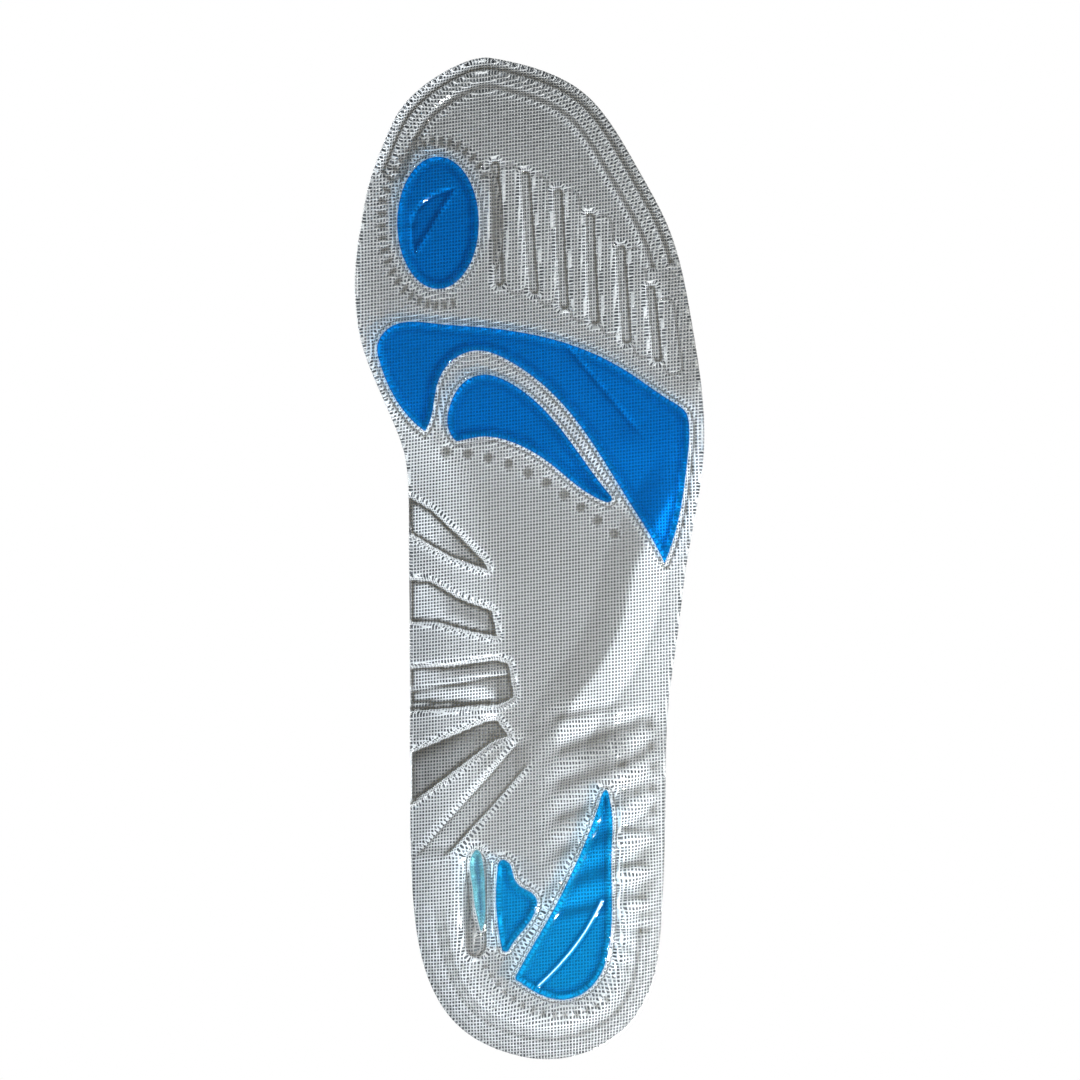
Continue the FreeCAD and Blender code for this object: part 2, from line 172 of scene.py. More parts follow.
def upper_rim(node):
    """The closed line where a node's upright wall meets its foot side, in order, as x, y points."""
    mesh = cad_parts[node].data
    points = np.array([v.co for v in mesh.vertices])
    keys, index = np.unique(np.round(points / (0.001 * MM)).astype(np.int64), axis=0, return_inverse=True)
    index = index.ravel()
    places = np.zeros((len(keys), 3))
    places[index] = points
    upper, wall = set(), set()
    for face in mesh.polygons:
        corners = [int(index[v]) for v in face.vertices]
        edges = {tuple(sorted(pair)) for pair in zip(corners, corners[1:] + corners[:1])}
        if abs(face.normal.z) < 0.3:
            wall |= edges
        elif face.normal.z > 0:
            upper |= edges
    neighbours = {}
    for a, b in upper & wall:
        neighbours.setdefault(a, []).append(b)
        neighbours.setdefault(b, []).append(a)
    start = min(neighbours)
    line, before, here = [start], start, neighbours[start][0]
    while here != start:
        line.append(here)
        ahead = [n for n in neighbours[here] if n != before]
        before, here = here, ahead[0]
    loop = places[line][:, :2]
    area = np.sum(loop[:, 0] * np.roll(loop[:, 1], -1) - np.roll(loop[:, 0], -1) * loop[:, 1])
    return loop if area > 0 else loop[::-1]


def even_loop(loop, spacing, corner=math.radians(32)):
    """A smooth line through a loop's points, evenly spaced, that keeps the loop's sharp corners."""
    keep = [0]
    for i in range(1, len(loop)):
        if np.linalg.norm(loop[i] - loop[keep[-1]]) > 0.12 * MM:
            keep.append(i)
    loop = loop[keep]
    ahead = np.roll(loop, -1, axis=0) - loop
    back = loop - np.roll(loop, 1, axis=0)
    turn = np.abs(np.arctan2(back[:, 0] * ahead[:, 1] - back[:, 1] * ahead[:, 0], (back * ahead).sum(1)))
    corners = set(np.nonzero(turn > corner)[0])
    n = len(loop)
    dots = []
    for i in range(n):
        p1, p2 = loop[i], loop[(i + 1) % n]
        p0 = loop[i - 1] if i not in corners else 2 * p1 - p2
        p3 = loop[(i + 2) % n] if (i + 1) % n not in corners else 2 * p2 - p1
        knots = [0.0]
        for a, b in ((p0, p1), (p1, p2), (p2, p3)):
            knots.append(knots[-1] + math.sqrt(np.linalg.norm(b - a)))
        for t in np.linspace(knots[1], knots[2], 12, endpoint=False):
            a1 = ((knots[1] - t) * p0 + (t - knots[0]) * p1) / (knots[1] - knots[0])
            a2 = ((knots[2] - t) * p1 + (t - knots[1]) * p2) / (knots[2] - knots[1])
            a3 = ((knots[3] - t) * p2 + (t - knots[2]) * p3) / (knots[3] - knots[2])
            b1 = ((knots[2] - t) * a1 + (t - knots[0]) * a2) / (knots[2] - knots[0])
            b2 = ((knots[3] - t) * a2 + (t - knots[1]) * a3) / (knots[3] - knots[1])
            dots.append(((knots[2] - t) * b1 + (t - knots[1]) * b2) / (knots[2] - knots[1]))
    dots = np.array(dots + dots[:1])
    run = np.concatenate([[0], np.cumsum(np.linalg.norm(np.diff(dots, axis=0), axis=1))])
    places = np.linspace(0, run[-1], max(12, int(run[-1] / spacing)), endpoint=False)
    return np.stack([np.interp(places, run, dots[:, k]) for k in (0, 1)], axis=1)


def inset(loop, distance):
    """The loop moved inwards, or outwards if distance is negative."""
    along = np.roll(loop, -1, axis=0) - np.roll(loop, 1, axis=0)
    along /= np.linalg.norm(along, axis=1, keepdims=True)
    return loop + distance * np.stack([-along[:, 1], along[:, 0]], axis=1)


def inside(loop, points):
    """Which points lie inside a loop."""
    result = np.zeros(len(points), bool)
    ends = np.roll(loop, -1, axis=0)
    for (x0, y0), (x1, y1) in zip(loop, ends):
        if y0 == y1:
            continue
        span = (y0 > points[:, 1]) != (y1 > points[:, 1])
        crossing = x0 + (points[span, 1] - y0) * (x1 - x0) / (y1 - y0)
        result[np.nonzero(span)[0][points[span, 0] < crossing]] ^= True
    return result


def distance_to(loop, points):
    """The distance from each point to the nearest of a loop's points."""
    result = np.empty(len(points))
    for start in range(0, len(points), 4000):
        block = points[start:start + 4000]
        gaps = block[:, None, :] - loop[None]
        result[start:start + 4000] = np.sqrt((gaps ** 2).sum(2).min(1))
    return result


# ---------------------------------------------------------------- height maps

class Field:
    """Values on a grid over the footprint, read at any place by blending the four nearest."""

    def __init__(self, step, margin=3 * MM):
        self.step = step
        self.low = np.array([cad_low.x - margin, cad_low.y - margin])
        high = np.array([cad_high.x + margin, cad_high.y + margin])
        self.shape = tuple(np.ceil((high - self.low) / step).astype(int) + 1)
        self.values = np.zeros(self.shape)

    def places(self):
        columns, rows = (self.low[k] + self.step * np.arange(self.shape[k]) for k in (0, 1))
        x, y = np.meshgrid(columns, rows, indexing="ij")
        return np.stack([x.ravel(), y.ravel()], axis=1)

    def fill(self, values):
        self.values = np.asarray(values, float).reshape(self.shape)
        return self

    def blurred(self, sigma):
        reach = int(math.ceil(3 * sigma / self.step))
        weights = np.exp(-0.5 * (np.arange(-reach, reach + 1) * self.step / sigma) ** 2)
        weights /= weights.sum()
        for axis in (0, 1):
            border = [(reach, reach) if k == axis else (0, 0) for k in (0, 1)]
            padded = np.pad(self.values, border, mode="edge")
            total = np.zeros_like(self.values)
            for i, weight in enumerate(weights):
                total += weight * np.take(padded, np.arange(i, i + self.shape[axis]), axis=axis)
            self.values = total
        return self

    def at(self, points):
        u = (np.asarray(points) - self.low) / self.step
        cell = np.clip(np.floor(u).astype(int), 0, np.array(self.shape) - 2)
        f = np.clip(u - cell, 0, 1)
        i, j = cell[:, 0], cell[:, 1]
        v = self.values
        low = v[i, j] * (1 - f[:, 0]) + v[i + 1, j] * f[:, 0]
        high = v[i, j + 1] * (1 - f[:, 0]) + v[i + 1, j + 1] * f[:, 0]
        return low * (1 - f[:, 1]) + high * f[:, 1]

    def like(self, values):
        """Another field on the same grid."""
        made = Field.__new__(Field)
        made.step, made.low, made.shape, made.values = self.step, self.low, self.shape, values
        return made

    def rise(self, direction):
        """How steeply this field rises in a direction."""
        gx, gy = np.gradient(self.values, self.step)
        return self.like(gx * direction[0] + gy * direction[1])

    def steepness(self):
        """How steep this field is."""
        gx, gy = np.gradient(self.values, self.step)
        return self.like(np.hypot(gx, gy))

    def bend(self):
        """How strongly this field curves upwards."""
        gx, gy = np.gradient(self.values, self.step)
        return self.like(np.gradient(gx, self.step, axis=0) + np.gradient(gy, self.step, axis=1))


outline = even_loop(upper_rim("top_cover"), 0.5 * MM)
edge_field = Field(1.0 * MM)
edge_places = edge_field.places()
edge_field.fill(distance_to(outline, edge_places) * np.where(inside(outline, edge_places), 1, -1))


def ease(t):
    """Nought below 0, one above 1, and a smooth rise in between."""
    t = np.clip(t, 0, 1)
    return t * t * (3 - 2 * t)


def section(points):
    """Gel thickness, edge lift, slope width and edge thickness at each place."""
    y = points[:, 1]
    row = np.clip(np.searchsorted(STATIONS[:, 0], y) - 1, 0, len(STATIONS) - 2)
    low, high = STATIONS[row], STATIONS[row + 1]
    t = ease((y - low[:, 0]) / (high[:, 0] - low[:, 0]))[:, None]
    values = low[:, 1:] + t * (high[:, 1:] - low[:, 1:])
    inner = ease((points[:, 0] / MM - SIDE_BLEND[0]) / (SIDE_BLEND[1] - SIDE_BLEND[0]))[:, None]
    side = values[:, 4:7] + inner * (values[:, 1:4] - values[:, 4:7])
    return values[:, 0], side[:, 0], side[:, 1], side[:, 2]


def slope(distance, width):
    """The share of an edge's lift at a distance from the edge: curved at first, then straight."""
    t = np.clip(1 - distance / width, 0, None)
    bent = np.minimum(t, SLOPE_STRAIGHT)
    return bent * bent + 2 * SLOPE_STRAIGHT * (t - bent)


def shoe_side(points):
    """The underside's height without its relief."""
    gel, lift, width, lip = section(points)
    return np.maximum(0, lift * slope(edge_field.at(points), width) - SHOE_SIDE_DIP)


def foot_side(points):
    """The height of the gel's foot side, where the mesh starts."""
    gel, lift, width, lip = section(points)
    return gel + (lift + lip - gel) * slope(edge_field.at(points), width * FOOT_SIDE_SLOPE)


def moulded_relief():
    """How far the CAD model's pockets and grooves cut the underside back, with soft corners."""
    verts, faces = [], []
    for node in ["gel_body"] + PAD_NODES:
        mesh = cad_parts[node].data
        faces += [[len(verts) + v for v in face.vertices] for face in mesh.polygons]
        verts += [v.co for v in mesh.vertices]
    tree = BVHTree.FromPolygons(verts, faces)
    field = Field(RELIEF_STEP)
    places = field.places()
    base = shoe_side(places)
    covered = edge_field.at(places) > 0
    depth = np.zeros(len(places))
    up = Vector((0, 0, 1))
    for i in np.nonzero(covered)[0]:
        hit = tree.ray_cast(Vector((places[i, 0], places[i, 1], -MM)), up)[0]
        if hit is not None:
            depth[i] = hit.z - base[i]
    return field.fill(np.maximum(0, depth - RELIEF_NOISE)).blurred(RELIEF_SOFTNESS)


def line_distance(points, line):
    """The distance from each point to a run of straight pieces."""
    line = np.array(line) * MM
    nearest = np.full(len(points), np.inf)
    for start, end in zip(line, line[1:]):
        along = end - start
        t = np.clip(((points - start) @ along) / (along @ along), 0, 1)
        nearest = np.minimum(nearest, np.linalg.norm(points - start - t[:, None] * along, axis=1))
    return nearest


def curve(start, control, end):
    """Points along the smooth curve from start to end that bends towards a control point."""
    t = np.linspace(0, 1, 13)[:, None]
    return (1 - t) ** 2 * np.array(start) + 2 * t * (1 - t) * np.array(control) + t ** 2 * np.array(end)


def left_of(points, start, end):
    """How far each point lies to the left of the line from start to end."""
    start, end = np.array(start) * MM, np.array(end) * MM
    along = (end - start) / np.linalg.norm(end - start)
    away = points - start
    return along[0] * away[:, 1] - along[1] * away[:, 0]


def hump(distance, half_width):
    """One at distance nought, fading smoothly over a half width in millimetres."""
    return np.exp(-(distance / (half_width * MM)) ** 2)


def window(values, low, high, fade):
    """One between low and high, all in millimetres, and fading to nought outside them."""
    return ease((values / MM - low + fade) / fade) * ease((high + fade - values / MM) / fade)


def heel_waves(points):
    """Soft waves of the gel over the outer side of the arch and heel."""
    x, y = points[:, 0], points[:, 1]
    phase = 2 * math.pi * (y - WAVE_CREST[1] + WAVE_SKEW * (x - WAVE_CREST[0])) / WAVE_PITCH
    reach = window(x, -30, -10, 7) * window(y, -100, -46, 6)
    return WAVE_DEPTH * (0.5 - 0.5 * np.cos(phase)) * reach


def carved_details(points, cad_depth):
    """Relief that is finer than the CAD model's."""
    x, y = points[:, 0], points[:, 1]
    depth = heel_waves(points)
    depth += NOTCH_GAIN * cad_depth * window(toe_pad_gap.at(points), *NOTCH_RING)
    start, end, step = THIRD_FLUTE_STEP
    in_flute = ease((cad_depth / MM - 1.0) / 1.0) * window(y, -41.0, -33.0, 1.5)
    depth += step * in_flute * window(left_of(points, start, end), 0.4, 40.0, 1.2)
    start, end, step = LAST_FLUTE_STEP
    around_flute = window(x, 4.0, 30.0, 6.0) * window(y, -83.0, -55.0, 5.0)
    depth += step * around_flute * window(left_of(points, start, end), 0.0, 6.0, 1.4)
    depth += PAD_GROOVE * hump(pad_edge.at(points) - PAD_GROOVE_OUT, 0.5)
    edge = edge_field.at(points)
    back = ease((-95.0 - y / MM) / 14.0)
    depth += HEEL_ARC * back * hump(edge - HEEL_ARC_IN, 2.6)
    spokes = np.cos(SPOKES * np.arctan2(x - SPOKE_CENTRE[0], y - SPOKE_CENTRE[1]))
    ripples = np.cos(2 * math.pi * edge / RIPPLE_PITCH)
    depth += RIPPLE * back * (spokes + ripples) * window(edge, 3.0, 13.0, 2.0)
    return np.maximum(depth, -cad_depth)


def shallow_dots(points):
    """Where the mould's dots and notches are shallow: round the toe pad and along the ball and the heel."""
    toe = window(toe_pad_gap.at(points), *NOTCH_RING)
    ball = hump(line_distance(points, BALL_DOTS), 3.2)
    heel = hump(line_distance(points, HEEL_DOTS), 2.6)
    return np.minimum(1, toe + ball + heel)


def outer_slope(points):
    """The underside's low keel, where the flat waist ends and the flank rises to the outer edge."""
    beyond = line_distance(points, FLANK_FOOT) * np.sign(flank_side(points))
    keel = window(points[:, 1], -46, 20, 15)
    outside, within = np.clip(beyond, 0, FLANK_REACH), np.clip(-beyond, 0, FLANK_REACH)
    return keel * (FLANK_FALL * outside + KEEL_FALL * within)


def flank_side(points):
    """Positive on the outer side of the flank's foot."""
    line = np.array(FLANK_FOOT) * MM
    order = np.argsort(line[:, 1])
    return np.interp(points[:, 1], line[order, 1], line[order, 0]) - points[:, 0]


def outer_heel(points):
    """The area of the outer heel wall, where the mould's beads and blocks are soft."""
    return window(points[:, 0], -60, -25, 3) * window(points[:, 1], -125, -44, 4)


def pad_relief(points):
    """How far the pads' undersides are cut back: dips, waves and a fold, less the raised ridge on the heel
    pad.
    """
    depth = 0.4 * heel_waves(points)
    leaf_middle = np.add(LEAF_START, LEAF_END) / 2 * MM
    leaf_half = np.linalg.norm(np.subtract(LEAF_END, LEAF_START)) * MM / 2
    across = -left_of(points, LEAF_START, LEAF_END)
    along = np.sqrt(np.maximum(0, np.linalg.norm(points - leaf_middle, axis=1) ** 2 - across ** 2))
    leaf_width = LEAF_WIDTH * (1 - (along / leaf_half) ** 2)
    depth += LEAF_DEPTH * ease((leaf_width - across) / MM) * ease(across / (1.5 * MM) + 0.5)
    depth += DISH_DEPTH * ease((pad_edge.at(points) - 0.5 * MM) / DISH_BORDER)
    fold_side = ease(left_of(points, OUTER_PAD_FOLD[0], (-24.0, 46.0)) / MM / 1.4 + 0.5)
    depth += 0.35 * MM * fold_side * hump(line_distance(points, curve(*OUTER_PAD_FOLD)), 5.0)
    depth -= 0.3 * MM * hump(line_distance(points, curve(*HEEL_PAD_SEAM)), 0.5)
    return depth


def under_toes(points):
    """One in the front part of the insole, which is lit more softly, and nought behind it."""
    return ease((points[:, 1] / MM - 45.0) / 10.0)


def rear_flutes(points):
    """One at the rear flutes of the arch, which get more painted shade than the front ones, and nought
    elsewhere.
    """
    return window(points[:, 1], -78.0, -52.0, 5.0) * ease((points[:, 0] / MM - 1.0) / 3.0)


def shade_strength(points):
    """The walls' shade is weaker under the toes, and towards the inner edge of the front flutes."""
    x, y = points[:, 0] / MM, points[:, 1] / MM
    inner = ease((x - 18.0) / 14.0) * ease((y + 52.0) / 8.0)
    return (1 - TOE_SOFTNESS * under_toes(points)) * (1 - 0.8 * inner * (1 - under_toes(points)))


def rim_shade(points):
    """The outer half of the toe's rim is in shade."""
    near_edge = 1 - ease((edge_field.at(points) / MM - 2.0) / 7.0)
    return TOE_RIM_SHADE * near_edge * under_toes(points) * ease((28.0 - points[:, 0] / MM) / 20.0)


def shade_of_walls(field):
    """The share of light lost beside the walls of the recesses, from none to one."""
    places = field.places()
    here = field.values.ravel()
    most = np.zeros(len(places))
    for reach in np.arange(0.5, SHADE_REACH + 0.5, 0.5) * MM:
        there = field.at(places + np.array(SHADE_FROM) * reach)
        most = np.maximum(most, here - there - SHADE_FALL * reach)
    return field.like(ease(most / SHADE_DEPTH).reshape(field.shape)).blurred(0.3 * MM)


def gap_field(node):
    """The distance to a pad's outline."""
    made = Field(PAD_STEP)
    return made.fill(distance_to(pad_outlines[node], made.places()))


pad_outlines = {node: even_loop(upper_rim(node), 0.45 * MM) for node in PAD_NODES}
toe_pad_gap = gap_field("toe_pad")
pad_edge = Field(PAD_STEP)
pad_edge.fill(np.min([distance_to(loop, pad_edge.places()) for loop in pad_outlines.values()], axis=0))

relief = moulded_relief()
softened = relief.like(relief.values.copy()).blurred(1.1 * MM)
blocks = outer_heel(relief.places()).reshape(relief.shape)
relief.values += blocks * (BLOCK_DEPTH * softened.values - relief.values)
relief.values += carved_details(relief.places(), relief.values.ravel()).reshape(relief.shape)
# Painted light and shade for the threads' and the pads' colour: painted shadows beside walls, in dots,
# notches, rear flutes and on the toe's rim, and painted light in thin gel.
relief_shade = shade_of_walls(relief)
dots = shallow_dots(relief.places()).reshape(relief.shape)
dot_shade = DOT_SHARE * ease(dots * relief.values / (0.5 * MM))
rear = rear_flutes(relief.places()).reshape(relief.shape)
rear_shade = REAR_SHADE * rear * ease(relief.values / (1.5 * MM))
thin = 1 + THIN_GAIN * (1 - dots) * (1 - rear) * ease(relief.values / (2.2 * MM))
wall_shade = SHADE_SHARE * relief_shade.values * shade_strength(relief.places()).reshape(relief.shape)
toe_rim = rim_shade(relief.places()).reshape(relief.shape)
relief_shade.values = 1 - thin * (1 - np.maximum(wall_shade, dot_shade)) * (1 - rear_shade) * (1 - toe_rim)
relief.values *= 1 - (1 - DOT_DEPTH) * dots
soft = 1 - TOE_SOFTNESS * under_toes(relief.places()).reshape(relief.shape)
relief_bend = relief.bend().blurred(0.35 * MM)
relief_bend.values *= soft
relief_rise = relief.rise(LIGHT_ACROSS)
relief_rise.values *= soft
relief_steepness = relief.steepness()
pad_field = Field(RELIEF_STEP)
pad_field.fill(pad_relief(pad_field.places()))
pad_bend = pad_field.bend().blurred(0.3 * MM)
pad_rise = pad_field.rise(LIGHT_ACROSS)
pad_shade = pad_field.like(PAD_SHARE * ease(pad_field.values / (1.4 * MM)))
bowl_slope = Field(MM)
bowl_slope.fill(shoe_side(bowl_slope.places()))
bowl_slope = bowl_slope.steepness().blurred(1.5 * MM)
flank = Field(RELIEF_STEP)
flank.fill(outer_slope(flank.places())).blurred(0.4 * MM)
flank_rise = flank.rise(LIGHT_ACROSS)


def keep_painted_light(piece, bend, rise, shade, strength=1.0):
    """Store as painted light the share of light that the gel in front of each place would bring there, from
    its shape.
    """
    points = np.array([tuple(v.co) for v in piece.data.vertices])[:, :2]
    gathered = bend.at(points) * MM / LENS_BEND
    turned = rise.at(points) / LENS_RISE
    tilted = flank_rise.at(points) / FLANK_RISE
    bowl = BOWL_GAIN * np.minimum(bowl_slope.at(points) / BOWL_SLOPE, 1)
    light = FLAT_LIGHT * (1 + bowl - tilted) * (1 + strength * (gathered - turned)) * (1 - shade.at(points))
    painted_light = piece.data.attributes.new("painted_light", "FLOAT", "POINT")
    painted_light.data.foreach_set("value", np.clip(light, 0.03, 1.0))


def underside(points):
    """The moulded underside: base shape, relief and rounded lower edge."""
    from_edge = np.clip(edge_field.at(points), 0, EDGE_ROUND)
    corner = EDGE_ROUND - np.sqrt(EDGE_ROUND ** 2 - (EDGE_ROUND - from_edge) ** 2)
    return shoe_side(points) + relief.at(points) + flank.at(points) + corner


# ---------------------------------------------------------------- meshes

def lattice(spacing):
    """Points of a triangular lattice over the footprint."""
    rows = np.arange(cad_low.y, cad_high.y, spacing * math.sqrt(0.75))
    columns = np.arange(cad_low.x, cad_high.x, spacing)
    x, y = np.meshgrid(columns, rows)
    x = x + (np.arange(len(rows))[:, None] % 2) * spacing / 2
    return np.stack([x.ravel(), y.ravel()], axis=1)


def triangulate(boundary, loops, points):
    """Triangles that fill a boundary, with the given closed loops and single points among their corners."""
    corners, edges = [], []
    for loop in [boundary] + loops:
        first = len(corners)
        corners += [Vector(p) for p in loop]
        edges += [(first + i, first + (i + 1) % len(loop)) for i in range(len(loop))]
    corners += [Vector(p) for p in points]
    face = list(range(len(boundary)))
    made = delaunay_2d_cdt(corners, edges, [face], 1, 1e-8)
    return np.array([tuple(v) for v in made[0]]), [list(t) for t in made[2]], made[3]


def boundary_ring(count, origins):
    """The made points that stand for the first count points given, in their order."""
    where = {}
    for made, given in enumerate(origins):
        for source in given:
            where.setdefault(source, made)
    return [where[i] for i in range(count)]


def closed_piece(name, boundary, lower, upper, lower_points, upper_points, lower_loops=(), upper_loops=()):
    """A closed mesh between a lower and an upper height over the area inside a boundary."""
    low_xy, low_faces, low_from = triangulate(boundary, list(lower_loops), lower_points)
    high_xy, high_faces, high_from = triangulate(boundary, list(upper_loops), upper_points)
    verts = np.concatenate([
        np.column_stack([low_xy, lower(low_xy)]),
        np.column_stack([high_xy, upper(high_xy)]),
    ])
    shift = len(low_xy)
    faces = [face[::-1] for face in low_faces] + [[v + shift for v in face] for face in high_faces]
    bottom = boundary_ring(len(boundary), low_from)
    top = [v + shift for v in boundary_ring(len(boundary), high_from)]
    for i in range(len(boundary)):
        j = (i + 1) % len(boundary)
        faces.append([bottom[i], bottom[j], top[j], top[i]])
    return new_object(name, verts, faces)


def new_object(name, verts, faces, sharp=math.radians(50)):
    """A smooth-shaded object with a mesh of these faces, creased where it turns more than the sharp angle."""
    mesh = bpy.data.meshes.new(name)
    mesh.from_pydata([tuple(v) for v in verts], [], faces)
    mesh.validate()
    mesh.shade_smooth()
    mesh.set_sharp_from_angle(angle=sharp)
    made = bpy.data.objects.new(name, mesh)
    bpy.context.scene.collection.objects.link(made)
    return made


def away_from(points, loops, gap):
    """Those points that keep a gap from every loop."""
    keep = np.ones(len(points), bool)
    for loop in loops:
        near = (points > loop.min(0) - gap).all(1) & (points < loop.max(0) + gap).all(1)
        index = np.nonzero(keep & near)[0]
        keep[index] = distance_to(loop, points[index]) > gap
    return points[keep]


def gel_body():
    """The clear moulding, with a pocket for each pad."""
    wall = 0.12 * MM
    rims = {node: inset(loop, -2 * wall) for node, loop in pad_outlines.items()}
    floors = {node: inset(loop, -wall) for node, loop in pad_outlines.items()}
    edge_loops = [inset(outline, d * EDGE_ROUND) for d in (0.12, 0.35, 0.65, 1.0)]
    loops = edge_loops + list(rims.values()) + list(floors.values())

    fine = lattice(FINE)
    fine = fine[relief_steepness.at(fine) > FINE_ABOVE]
    medium = lattice(MEDIUM)
    medium = medium[relief_steepness.at(medium) <= FINE_ABOVE]
    points = np.concatenate([fine, medium])
    points = points[edge_field.at(points) > EDGE_ROUND + 0.3 * MM]
    points = away_from(points, list(rims.values()) + list(floors.values()), 0.22 * MM)

    def lower(xy):
        z = underside(xy)
        for node in PAD_NODES:
            pocket = inside(inset(floors[node], -0.3 * wall), xy)
            z[pocket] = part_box(node)[1].z + 0.02 * MM
        return z

    def upper(xy):
        return foot_side(xy) + MESH_THICKNESS + 0.01 * MM

    top_points = lattice(COARSE)
    top_points = top_points[edge_field.at(top_points) > 1.2 * MM]
    piece = closed_piece("gel_moulding", outline, lower, upper, points, top_points, loops,
                         [inset(outline, 0.6 * MM)])
    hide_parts("gel_body")
    return piece


def gel_pad(node):
    """A blue pad, with a rounded lower edge, that lies in its pocket."""
    loop = pad_outlines[node]
    low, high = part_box(node)
    rings = [inset(loop, d * PAD_ROUND) for d in (0.15, 0.45, 1.0)]
    points = lattice(0.6 * MM)
    seams = lattice(0.25 * MM)
    seams = seams[line_distance(seams, curve(*HEEL_PAD_SEAM)) < 1.0 * MM]
    points = np.concatenate([points, seams])
    points = points[(points > loop.min(0)).all(1) & (points < loop.max(0)).all(1)]
    points = points[inside(loop, points)]
    points = away_from(points, [loop], PAD_ROUND + 0.3 * MM)

    def lower(xy):
        d = np.clip(distance_to(loop, xy), 0, PAD_ROUND)
        corner = PAD_ROUND - np.sqrt(PAD_ROUND ** 2 - (PAD_ROUND - d) ** 2)
        base = shoe_side(xy) if low.z < 0.5 * MM else np.full(len(xy), low.z)
        return base + corner + flank.at(xy) + pad_field.at(xy) * (d / PAD_ROUND)

    def upper(xy):
        return np.full(len(xy), high.z)

    piece = closed_piece(node + "_gel", loop, lower, upper, points, points[::4], rings)
    places = np.array([tuple(v.co) for v in piece.data.vertices])
    upper_side = places[:, 2] > high.z - 0.1 * MM
    # The pad's colour carries painted light and shade from its own shape.
    keep_painted_light(piece, pad_bend, pad_rise, pad_shade, strength=PAD_LENS)
    # A painted white highlight along the heel pad's raised line, for the light that the ridge would catch.
    seam_highlight = hump(line_distance(places[:, :2], curve(*HEEL_PAD_SEAM)), SEAM_HIGHLIGHT_HALF_WIDTH) * ~upper_side
    piece.data.attributes.new("seam_highlight", "FLOAT", "POINT").data.foreach_set("value", seam_highlight)
    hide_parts(node)
    return piece


# ---------------------------------------------------------------- the woven mesh and the cover

def runs(flags):
    """Start and end of each run of true values."""
    edges = np.flatnonzero(np.diff(np.concatenate([[0], flags.astype(int), [0]])))
    return list(zip(edges[::2], edges[1::2]))


def thread_family(name, lines, thread):
    """One direction of the weave: a closed, three-sided thread along each line of points.

    The threads are taller than they are wide. A round thread of the same width would leave the same gaps in
    the weave, but half of its surface would be under the least share of the flat area that a sheet may have.
    """
    width, height = thread
    section_shape = [(-0.5, 0.5), (0.0, -0.5), (0.5, 0.5)]
    verts, faces = [], []
    for line in lines:
        along = np.gradient(line, axis=0)
        along /= np.linalg.norm(along, axis=1, keepdims=True)
        side = np.cross(along, (0, 0, 1))
        side /= np.linalg.norm(side, axis=1, keepdims=True)
        over = np.cross(side, along)
        first = sum(len(v) for v in verts)
        ring = [line + side * width * a + over * height * b for a, b in section_shape]
        verts.append(np.stack(ring, axis=1).reshape(-1, 3))
        sides = len(section_shape)
        for i in range(len(line) - 1):
            for k in range(sides):
                a, b = first + i * sides + k, first + i * sides + (k + 1) % sides
                faces.append([a, b, b + sides, a + sides])
        last = first + (len(line) - 1) * sides
        faces.append([first + k for k in reversed(range(sides))])
        faces.append([last + k for k in range(sides)])
    return new_object(name, np.concatenate(verts), faces, sharp=math.radians(70))


def weave():
    """The woven backing, thread over thread. The clear moulding reaches up round it to the cover."""
    margin = 0.15 * MM
    columns = np.arange(int(cad_low.x / WARP_PITCH) - 1, int(cad_high.x / WARP_PITCH) + 2)
    reach = abs(WEFT_TILT) * insole_size.x / 2
    rows = np.arange(int((cad_low.y - reach) / WEFT_PITCH) - 1, int((cad_high.y + reach) / WEFT_PITCH) + 2)

    def crossings(i, j):
        x = i * WARP_PITCH
        return np.stack([x + 0 * j, j * WEFT_PITCH + WEFT_TILT * x], axis=-1)

    def raised(points, parity):
        height = foot_side(points) + MESH_THICKNESS / 2 + CRIMP * parity
        return np.column_stack([points, height])

    warp, weft = [], []
    for i in columns:
        points = crossings(i, rows)
        for start, end in runs(edge_field.at(points) > margin):
            if end - start > 2:
                warp.append(raised(points[start:end], 1 - 2 * ((i + rows[start:end]) % 2)))
    for j in rows:
        points = crossings(columns, j)
        for start, end in runs(edge_field.at(points) > margin):
            if end - start > 2:
                weft.append(raised(points[start:end], 2 * ((j + columns[start:end]) % 2) - 1))
    pieces = [thread_family("mesh_warp", warp, WARP_THREAD), thread_family("mesh_weft", weft, WEFT_THREAD)]
    for piece in pieces:
        # The threads' colour carries the painted light and shade of the gel in front of them.
        keep_painted_light(piece, relief_bend, relief_rise, relief_shade)
        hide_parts("mesh_backing")
    return pieces


def top_cover():
    """The cloth that the foot stands on."""
    points = lattice(1.3 * MM)
    points = points[edge_field.at(points) > 1.0 * MM]
    rings = [inset(outline, d * COVER_ROUND) for d in (0.2, 0.6, 1.1)]

    def lower(xy):
        return foot_side(xy) + MESH_THICKNESS

    def upper(xy):
        d = np.clip(edge_field.at(xy), 0, COVER_ROUND)
        corner = COVER_ROUND - np.sqrt(COVER_ROUND ** 2 - (COVER_ROUND - d) ** 2)
        return foot_side(xy) + MESH_THICKNESS + COVER_THICKNESS - corner

    piece = closed_piece("cover_cloth", outline, lower, upper, points[::3], points, (), rings)
    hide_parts("top_cover")
    return piece


# ---------------------------------------------------------------- materials

